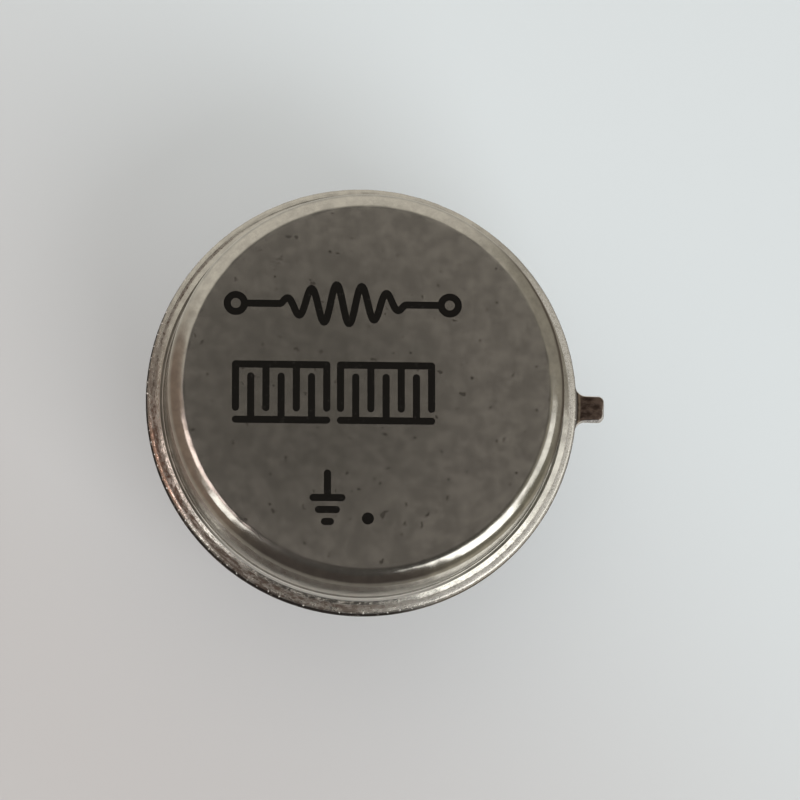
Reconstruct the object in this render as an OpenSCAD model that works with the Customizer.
// Surface acoustic wave filter in a low round metal can.
// A header carries glass-sealed leads and a piezoelectric crystal, and a drawn cap is welded over them.
// The origin is the centre of the seating plane, which is the underside of the header.
// +Z points to the top of the cap and +X to the index tab. The leads hang down along -Z.

/* [Header] */
// Diameter of the weld flange
flange_d = 15.24; // [14.8:0.02:15.8]
// Thickness of the weld flange and of its tab
flange_t = 0.4; // [0.3:0.05:0.6]
// Rounding of the edges of the flange and its tab
flange_edge_r = 0.08; // [0.02:0.01:0.12]
// Height of the platform above the seating plane
platform_h = 1.5; // [1.2:0.05:1.7]
// Gap between the platform and the inside wall of the cap
platform_gap = 0.15; // [0.1:0.05:0.4]
// Rounding of the upper edge of the platform
platform_edge_r = 0.15; // [0.05:0.05:0.3]

/* [Index tab] */
// Length of the tab past the flange
tab_l = 0.98; // [0.7:0.02:1.2]
// Width of the tab
tab_w = 0.9; // [0.7:0.05:1.1]
// Radius of the hollow corners where the tab leaves the flange
tab_root_r = 0.34; // [0.1:0.02:0.5]
// Step from the faces of the flange to those of the tab
tab_step = 0.02; // [0.005:0.005:0.04]
// Radius of the two outer corners of the tab
tab_corner_r = 0.18; // [0.14:0.01:0.3]

/* [Cap] */
// Outside diameter of the can
cap_d = 13.9; // [13.6:0.02:14]
// Height of the top of the cap above the seating plane
cap_h = 3.5; // [3.3:0.05:5]
// Thickness of the drawn sheet
cap_wall = 0.25; // [0.2:0.01:0.32]
// Outside radius between the top and the wall
cap_top_r = 0.6; // [0.4:0.02:0.8]
// Hollow radius between the wall and the brim
cap_root_r = 0.25; // [0.15:0.01:0.28]
// Step from the rim of the flange in to the rim of the brim
brim_inset = 0.02; // [0:0.01:0.06]
// Rounding of the upper edge of the brim
brim_edge_r = 0.15; // [0.08:0.01:0.18]
// Rounding of the lower edge of the brim, which leaves the groove over the weld
brim_under_r = 0.05; // [0.02:0.01:0.08]
// Width of the ring that the welding electrode presses into the brim
weld_mark_w = 0.09; // [0.04:0.01:0.12]
// Depth of that ring
weld_mark_depth = 0.02; // [0.01:0.005:0.04]

/* [Leads] */
// Diameter of the leads, with their solder coat
lead_d = 0.457; // [0.4:0.01:0.52]
// Thickness of the solder coat, which ends at the seating plane
solder_coat = 0.01; // [0.005:0.005:0.02]
// Diameter of the circle that the leads stand on
lead_circle_d = 10.16; // [9.8:0.02:10.4]
// Length of the leads below the seating plane
lead_l = 5; // [3:0.5:12]
// Rounding at the cut end of a lead
lead_tip_r = 0.08; // [0.02:0.01:0.15]
// Diameter of the flattened head of a lead
head_d = 0.8; // [0.78:0.01:0.9]
// Thickness of the flattened head
head_t = 0.14; // [0.1:0.01:0.2]
// Rounding of the edges of the flattened head
head_edge_r = 0.035; // [0.01:0.005:0.04]
// Height of a lead's head above the platform
post_h = 0.5; // [0.35:0.05:0.7]
// Gap round the head of the case lead in its socket
socket_gap = 0.05; // [0.03:0.01:0.1]

/* [Glass seals] */
// Diameter of a glass seal
seal_d = 1.6; // [1.3:0.05:1.8]
// Sag of the glass between its hole and its lead
seal_sag = 0.07; // [0.03:0.01:0.12]

/* [Crystal] */
// Length of the crystal
crystal_l = 9.6; // [9:0.1:10]
// Width of the crystal
crystal_w = 3.6; // [3.4:0.1:4]
// Thickness of the crystal
crystal_t = 0.5; // [0.35:0.05:0.6]
// Slant of the two sawn ends, in degrees
end_slant = 8; // [0:1:12]
// Thickness of the adhesive under the crystal
adhesive_t = 0.05; // [0.03:0.01:0.1]
// Margin of adhesive that is squeezed out round the crystal
adhesive_margin = 0.12; // [0.05:0.01:0.25]

/* [Transducers] */
// Thickness of the metal film
film_t = 0.02; // [0.01:0.005:0.03]
// Width of one finger
finger_w = 0.025; // [0.02:0.005:0.035]
// Gap between two fingers, beside each other or end to end
finger_gap = 0.025; // [0.02:0.005:0.035]
// Number of finger lines in the input transducer
input_fingers = 44; // [24:2:48]
// Number of finger lines in the output transducer
output_fingers = 24; // [12:2:36]
// Distance between the two rails of a transducer
aperture = 1.7; // [1.4:0.1:1.8]
// Number of half lobes in the finger overlap of the input transducer
overlap_lobes = 2; // [1:1:3]
// Width of the rail that joins the fingers
rail_w = 0.12; // [0.08:0.01:0.16]
// Length of a bond pad along the rail
pad_l = 0.5; // [0.3:0.05:0.8]
// Width of a bond pad
pad_w = 0.4; // [0.3:0.05:0.45]
// Width of the shield strip between the transducers
shield_w = 0.3; // [0.2:0.05:0.4]
// Gap from the shield strip to each transducer
shield_gap = 0.6; // [0.4:0.05:0.8]

/* [Absorbers] */
// Width of an absorber bead
absorber_w = 0.6; // [0.4:0.05:0.7]
// Height of an absorber bead
absorber_h = 0.16; // [0.08:0.02:0.24]
// Distance from an absorber bead to the edges of the crystal
absorber_margin = 0.15; // [0.08:0.01:0.25]

/* [Bond wires] */
// Diameter of the bond wire
wire_d = 0.05; // [0.03:0.005:0.06]
// Rise of a wire's loop over the line between its feet
wire_rise = 0.45; // [0.3:0.05:0.55]
// Length of a bond foot
foot_l = 0.14; // [0.1:0.01:0.18]
// Width of a bond foot
foot_w = 0.08; // [0.06:0.01:0.1]
// Thickness of a bond foot
foot_t = 0.025; // [0.015:0.005:0.03]
// Length of the heel between a foot and the loop
heel_l = 0.05; // [0.04:0.01:0.08]
// Distance from the adhesive out to the shield wire's bond on the platform
ground_bond_reach = 0.6; // [0.4:0.05:0.9]

/* [Hidden] */
$fn = 96;

// Radii of the round pieces
flange_r = flange_d / 2;
brim_r = flange_r - brim_inset;
cap_r = cap_d / 2;
cap_inner_r = cap_r - cap_wall;
platform_r = cap_inner_r - platform_gap;
lead_r = lead_d / 2;
bare_r = lead_r - solder_coat;
seal_r = seal_d / 2;
head_r = head_d / 2;

// Heights above the seating plane
brim_top = flange_t + cap_wall;
post_top = platform_h + post_h;
crystal_base = platform_h + adhesive_t;
film_base = crystal_base + crystal_t;
film_top = film_base + film_t;

// The weld mark lies just inside the rounded edge of the brim
weld_mark_r = brim_r - brim_edge_r - weld_mark_w / 2;
// Radius of the arc that sinks a hollow of this width and depth
function sag_r(width, depth) = (width * width / 4 + depth * depth) / (2 * depth);

// The signal leads stand at 45 degrees to the tab: input on -X, output on +X, returns on -Y
lead_step = lead_circle_d / 2 * cos(45);
input_place = [-lead_step, lead_step];
input_return_place = [-lead_step, -lead_step];
output_place = [lead_step, lead_step];
output_return_place = [lead_step, -lead_step];
case_place = [-lead_circle_d / 2, 0];
signal_places = [input_place, input_return_place, output_place, output_return_place];

// Transducers lie on both sides of the shield strip
pitch = finger_w + finger_gap;
input_len = input_fingers * pitch;
output_len = output_fingers * pitch;
input_x = -(shield_w / 2 + shield_gap + input_len / 2);
output_x = shield_w / 2 + shield_gap + output_len / 2;
rail_y = aperture / 2;
pad_y = rail_y + rail_w + pad_w / 2;
ground_bond_y = -(crystal_w / 2 + adhesive_margin + ground_bond_reach);

// How far a cut runs past the face it opens
over = 1;

// How deep the hollow corners of the tab cut into the rim of the flange
root_sink = 0.02;

// Fineness of the swept and lofted forms
edge_steps = 3;
corner_steps = 6;
wire_steps = 14;
wire_sides = 8;

// A point at a distance and an angle from a centre
function polar(centre, radius, angle) = centre + radius * [cos(angle), sin(angle)];

// Outline of the crystal with slanted ends, grown by a margin
function crystal_outline(margin) =
    let (half_w = crystal_w / 2 + margin,
        half_l = crystal_l / 2 + margin / cos(end_slant),
        lean = half_w * tan(end_slant))
    [[-half_l - lean, -half_w], [half_l - lean, -half_w],
        [half_l + lean, half_w], [-half_l + lean, half_w]];

// ---- Header: flange, platform and tab in one piece

// One side of the tab's outline at an inset from its full size, from the flange out to the tip
function tab_side(inset) =
    let (reach = flange_r + tab_root_r - root_sink,
        hollow = [sqrt(pow(reach, 2) - pow(tab_w / 2 + tab_root_r, 2)), tab_w / 2 + tab_root_r],
        corner = [flange_r + tab_l - tab_corner_r, tab_w / 2 - tab_corner_r],
        start = atan2(hollow[1], hollow[0]))
    concat([polar([0, 0], cap_r, start)],
        [for (i = [0:corner_steps])
            polar(hollow, tab_root_r + inset, 180 + start + (90 - start) * i / corner_steps)],
        [for (i = [0:corner_steps])
            polar(corner, tab_corner_r - inset, 90 - 90 * i / corner_steps)]);

function tab_outline(inset) =
    let (side = tab_side(inset))
    concat([for (i = [0:len(side) - 1]) [side[i][0], -side[i][1]]],
        [for (i = [len(side) - 1:-1:0]) side[i]]);

// Height and inset of each section of the tab, rounded at its lower and upper edges
function tab_sections() =
    concat([for (i = [0:edge_steps])
            let (a = 90 * i / edge_steps)
            [tab_step + flange_edge_r * (1 - cos(a)), flange_edge_r * (1 - sin(a))]],
        [for (i = [edge_steps:-1:0])
            let (a = 90 * i / edge_steps)
            [flange_t - tab_step - flange_edge_r * (1 - cos(a)), flange_edge_r * (1 - sin(a))]]);

// A solid through equal rings of points. A ring's second half mirrors its first, and strips
// between the halves close both ends.
module loft(rings) {
    n = len(rings[0]);
    last = (len(rings) - 1) * n;
    polyhedron(
        points = [for (ring = rings) each ring],
        faces = concat(
            [for (i = [0:n / 2 - 2]) [i, i + 1, n - 2 - i, n - 1 - i]],
            [for (r = [0:n:last - n], i = [0:n - 1])
                [r + i, r + n + i, r + n + (i + 1) % n, r + (i + 1) % n]],
            [for (i = [0:n / 2 - 2])
                [last + n - 1 - i, last + n - 2 - i, last + i + 1, last + i]]));
}

module tab_blank() {
    loft([for (section = tab_sections())
        [for (p = tab_outline(section[1])) [p[0], p[1], section[0]]]]);
}

// What rounds off a square corner at the origin, whose solid lies towards +X and +Y
module corner_cut(radius) {
    if (radius > 0)
        difference() {
            translate([-over, -over])
                square(over + radius);
            translate([radius, radius])
                circle(radius);
        }
}

// A disc's half section from the axis out, with rounded upper and lower rims
module disc_section(radius, base, top, upper_r, lower_r) {
    difference() {
        translate([0, base])
            square([radius, top - base]);
        translate([radius, top])
            rotate(180)
                corner_cut(upper_r);
        translate([radius, base])
            rotate(90)
                corner_cut(lower_r);
    }
}

module header() {
    color("darkkhaki")
        difference() {
            union() {
                rotate_extrude()
                    disc_section(flange_r, 0, flange_t, flange_edge_r, flange_edge_r);
                rotate_extrude()
                    disc_section(platform_r, 0, platform_h, platform_edge_r, 0);
                tab_blank();
            }
            for (place = signal_places)
                translate([place[0], place[1], -over])
                    cylinder(h = platform_h + 2 * over, r = seal_r);
            translate([case_place[0], case_place[1], -over])
                cylinder(h = head_t + over, r = head_r + socket_gap);
        }
}

// ---- Cap: one drawn sheet with a round top edge and a brim

// Half section of the brim with its rounded rim and the ring of the weld mark
module brim_section() {
    difference() {
        translate([0, flange_t])
            disc_section(brim_r, 0, cap_wall, brim_edge_r, brim_under_r);
        translate([weld_mark_r, brim_top + sag_r(weld_mark_w, weld_mark_depth) - weld_mark_depth])
            circle(sag_r(weld_mark_w, weld_mark_depth));
    }
}

module cap_section() {
    root = [cap_r + cap_root_r, brim_top + cap_root_r];
    difference() {
        union() {
            disc_section(cap_r, 0, cap_h, cap_top_r, 0);
            brim_section();
            translate([cap_r, flange_t + cap_wall / 2])
                square([cap_root_r, cap_wall / 2 + cap_root_r]);
        }
        translate(root)
            circle(cap_root_r);
        disc_section(cap_inner_r, 0, cap_h - cap_wall, cap_top_r - cap_wall, 0);
        difference() {
            square(root);
            translate(root)
                circle(cap_root_r + cap_wall);
        }
    }
}

module cap() {
    color("silver")
        rotate_extrude()
            cap_section();
}

// ---- Glass seals: a bead in each hole of the header, sagging between hole and lead
module seal(place) {
    glass_w = seal_r - bare_r;
    color("darkslategray")
        translate([place[0], place[1], 0])
            rotate_extrude()
                difference() {
                    translate([bare_r, 0])
                        square([glass_w, platform_h]);
                    for (z = [seal_sag - sag_r(glass_w, seal_sag),
                            platform_h - seal_sag + sag_r(glass_w, seal_sag)])
                        translate([bare_r + glass_w / 2, z])
                            circle(sag_r(glass_w, seal_sag));
                }
}

// ---- Leads: a round wire with a flattened head, bare above the seating plane
module lead(place, head_top) {
    color("lightgray")
        translate([place[0], place[1], 0])
            rotate_extrude() {
                disc_section(lead_r, -lead_l, 0, 0, lead_tip_r);
                disc_section(bare_r, -lead_tip_r, head_top, 0, 0);
                disc_section(head_r, head_top - head_t, head_top, head_edge_r, head_edge_r);
            }
}

// ---- Crystal and the adhesive that holds it on the platform
module crystal() {
    color("lightyellow")
        translate([0, 0, crystal_base])
            linear_extrude(crystal_t)
                polygon(crystal_outline(0));
}

module die_adhesive() {
    color("ivory")
        translate([0, 0, platform_h])
            linear_extrude(adhesive_t)
                polygon(crystal_outline(adhesive_margin));
}

// ---- Transducers: two combs of fingers that reach between each other

// Share of the aperture over which the fingers overlap, at a place from -1 to 1 along the transducer
function overlap_share(u) =
    let (a = 180 * overlap_lobes * u)
    abs(a) < 1 ? 1 : abs(sin(a) / (a * PI / 180));

// Height across the aperture where a finger line is cut, on alternating sides of the middle
function cut_y(i, count, shaped) =
    let (u = 2 * (i + 0.5) / count - 1,
        reach = shaped ? (rail_y - finger_gap) * overlap_share(u) : rail_y)
    (i % 2 == 0 ? -1 : 1) * max(0, reach - finger_gap / 2);

// The comb on one side, at +1 or -1: its rail, its pad and its part of every finger line
module comb_outline(count, side, shaped) {
    length = count * pitch;
    for (i = [0:count - 1]) {
        tip = side * cut_y(i, count, shaped) + finger_gap / 2;
        translate([-length / 2 + finger_gap / 2 + i * pitch, tip])
            square([finger_w, rail_y + rail_w / 2 - tip]);
    }
    translate([-length / 2, rail_y])
        square([length, rail_w]);
    translate([-pad_l / 2, rail_y + rail_w / 2])
        square([pad_l, rail_w / 2 + pad_w]);
}

module comb(x, count, side, shaped) {
    color("gainsboro")
        translate([x, 0, film_base])
            linear_extrude(film_t)
                mirror([0, side < 0 ? 1 : 0])
                    comb_outline(count, side, shaped);
}

// ---- Shield strip between the transducers, with a pad at its lower end
module shield_strip() {
    color("gainsboro")
        translate([0, 0, film_base])
            linear_extrude(film_t) {
                translate([-shield_w / 2, -pad_y])
                    square([shield_w, 2 * pad_y]);
                translate([-pad_l / 2, -pad_y - pad_w / 2])
                    square([pad_l, pad_w]);
            }
}

// ---- Absorbers: a soft bead across each slanted end, which damps waves that pass the transducers

// Half section of a bead, as a segment of a circle
module bead_section() {
    radius = sag_r(absorber_w, absorber_h);
    intersection() {
        translate([0, absorber_h - radius])
            circle(radius);
        square([absorber_w / 2, absorber_h]);
    }
}

module absorber(side) {
    straight = crystal_w - 2 * absorber_margin - absorber_w;
    x = side * (crystal_l / 2 - (absorber_margin + absorber_w / 2) / cos(end_slant));
    color("dimgray")
        translate([x, 0, film_base])
            rotate([0, 0, -end_slant]) {
                rotate([90, 0, 0])
                    linear_extrude(straight, center = true)
                        for (flip = [0, 1])
                            mirror([flip, 0])
                                bead_section();
                for (end = [-1, 1])
                    translate([0, end * straight / 2, 0])
                        rotate_extrude()
                            bead_section();
            }
}

// ---- Bond wires: a flat foot at each end and a loop between them

// Stations along a wire as distance, height, width and thickness
function wire_stations(length, z0, z1) =
    let (start = foot_l + heel_l,
        span = length - 2 * start)
    concat([[0, z0 + foot_t / 2, foot_w, foot_t], [foot_l, z0 + foot_t / 2, foot_w, foot_t]],
        [for (i = [0:wire_steps])
            let (u = i / wire_steps)
            [start + span * u, z0 + (z1 - z0) * u + wire_d / 2 + wire_rise * 4 * u * (1 - u),
                wire_d, wire_d]],
        [[length - foot_l, z1 + foot_t / 2, foot_w, foot_t],
            [length, z1 + foot_t / 2, foot_w, foot_t]]);

// Slope of a wire at a station, level along the feet
function wire_slope(stations, i) =
    let (last = len(stations) - 1)
    i < 2 || i > last - 2 ? 0 :
    atan2(stations[i + 1][1] - stations[i - 1][1], stations[i + 1][0] - stations[i - 1][0]);

function wire_ring(station, slope) =
    [for (i = [0:wire_sides - 1])
        let (a = 360 * (i + 0.5) / wire_sides,
            across = station[2] / 2 * cos(a) / cos(180 / wire_sides),
            up = station[3] / 2 * sin(a) / cos(180 / wire_sides))
        [station[0] - up * sin(slope), across, station[1] + up * cos(slope)]];

// A bond wire between two points, each given with the height of the surface under its foot
module bond_wire(from, to) {
    run = [to[0] - from[0], to[1] - from[1]];
    stations = wire_stations(norm(run), from[2], to[2]);
    color("white")
        translate([from[0], from[1], 0])
            rotate([0, 0, atan2(run[1], run[0])])
                loft([for (i = [0:len(stations) - 1])
                    wire_ring(stations[i], wire_slope(stations, i))]);
}

// A signal wire starts on a lead's head and ends on the middle of a comb's pad
module signal_wire(place, x, side) {
    bond_wire([place[0], place[1], post_top], [x, side * pad_y, film_top]);
}

header();
cap();
seal(input_place);  // input_seal
seal(input_return_place);  // input_return_seal
seal(output_place);  // output_seal
seal(output_return_place);  // output_return_seal
lead(input_place, post_top);  // input_lead
lead(input_return_place, post_top);  // input_return_lead
lead(output_place, post_top);  // output_lead
lead(output_return_place, post_top);  // output_return_lead
lead(case_place, head_t);  // case_lead
die_adhesive();
crystal();
comb(input_x, input_fingers, 1, true);  // input_comb
comb(input_x, input_fingers, -1, true);  // input_return_comb
comb(output_x, output_fingers, 1, false);  // output_comb
comb(output_x, output_fingers, -1, false);  // output_return_comb
shield_strip();
absorber(-1);  // input_absorber
absorber(1);  // output_absorber
signal_wire(input_place, input_x, 1);  // input_wire
signal_wire(input_return_place, input_x, -1);  // input_return_wire
signal_wire(output_place, output_x, 1);  // output_wire
signal_wire(output_return_place, output_x, -1);  // output_return_wire
bond_wire([0, -pad_y, film_top], [0, ground_bond_y, platform_h]);  // shield_wire
